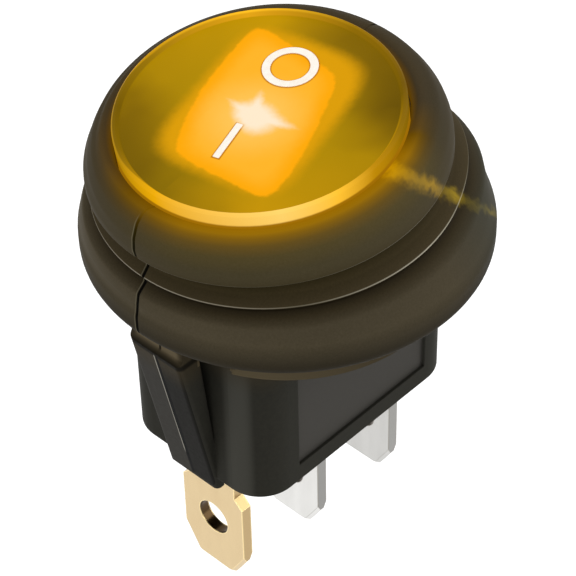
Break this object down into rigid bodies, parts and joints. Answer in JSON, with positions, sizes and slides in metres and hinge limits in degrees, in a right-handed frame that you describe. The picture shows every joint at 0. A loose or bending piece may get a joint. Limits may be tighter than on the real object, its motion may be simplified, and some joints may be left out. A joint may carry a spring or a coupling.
{
  "type": "panel rocker switch",
  "caption": "Round snap-in rocker switch with a sealing rubber boot, a lit amber cap and blade tabs for a panel hole.",
  "frame": {"origin": "on the collar's axis, in the plane where the boot's bead seats on the panel's front face", "axes": "+Z out of the panel towards the cap; +X along the row of tabs, away from the lamp tab; +Y across the switch, along the rocker's axle"},
  "size_m": [0.025, 0.025, 0.0363],
  "materials": {
    "black_nylon": "satin black moulding",
    "cast_resin": "poured, level",
    "lamp_tab_brass": "gold plate, satin",
    "tinned_tab": "tinned brass",
    "tinned_tab_load": "tinned brass",
    "fixed_contact_silver": "silver",
    "blade_copper": "rolled copper alloy",
    "moving_contact_silver": "silver",
    "boot_rubber": "dark silicone rubber, satin",
    "carrier_nylon": "satin black moulding",
    "ring_nylon": "satin",
    "amber_plastic": "translucent amber, satin",
    "diffuser_plastic": "translucent amber, lit",
    "led_resin": "clear amber epoxy",
    "resistor_body": "glazed",
    "cup_brass": "turned",
    "cup_brass_load": "turned",
    "plunger_plastic": "natural acetal",
    "spring_steel": "bright wire",
    "lamp_spring_steel": "bright wire",
    "lamp_spring_steel_load": "bright wire"
  },
  "bodies": {
    "base": {"housing": "black_nylon", "base_seal": "cast_resin", "terminal_lamp": "lamp_tab_brass", "terminal_line": "tinned_tab", "terminal_load": "tinned_tab_load", "fixed_contact": "fixed_contact_silver", "sealing_boot": "boot_rubber", "lamp_spring_lamp": "lamp_spring_steel", "lamp_spring_load": "lamp_spring_steel_load"},
    "rocker": {"rocker_carrier": "carrier_nylon", "clamp_ring": "ring_nylon", "amber_cap": "amber_plastic", "diffuser": "diffuser_plastic", "led": "led_resin", "lamp_resistor": "resistor_body", "lamp_cup_lamp": "cup_brass", "lamp_cup_load": "cup_brass_load", "plunger_spring": "spring_steel"},
    "plunger": {"plunger": "plunger_plastic"},
    "blade": {"contact_blade": "blade_copper", "moving_contact": "moving_contact_silver"}
  },
  "joints": [
    {"name": "rocker_tilt", "type": "hinge", "parent": "base", "child": "rocker", "pos_m": [0, 0, -0.0043], "axis": [0, 1, 0], "range_deg": [0, 15.6], "deforming": ["sealing_boot", "lamp_spring_lamp", "lamp_spring_load"]},
    {"name": "plunger_slide", "type": "slide", "parent": "rocker", "child": "plunger", "axis": [-0.1357, 0, 0.9907], "range_m": [0, 0.0006], "stiffness_N_per_m": 300, "springref_m": -0.002, "deforming": ["plunger_spring"]},
    {"name": "blade_tilt", "type": "hinge", "parent": "base", "child": "blade", "pos_m": [0, 0, -0.0091], "axis": [0, 1, 0], "range_deg": [-8, 0]}
  ],
  "couplings": [
    {"joint": "blade_tilt", "follows": "rocker_tilt", "ratio": -0.5128}
  ]
}
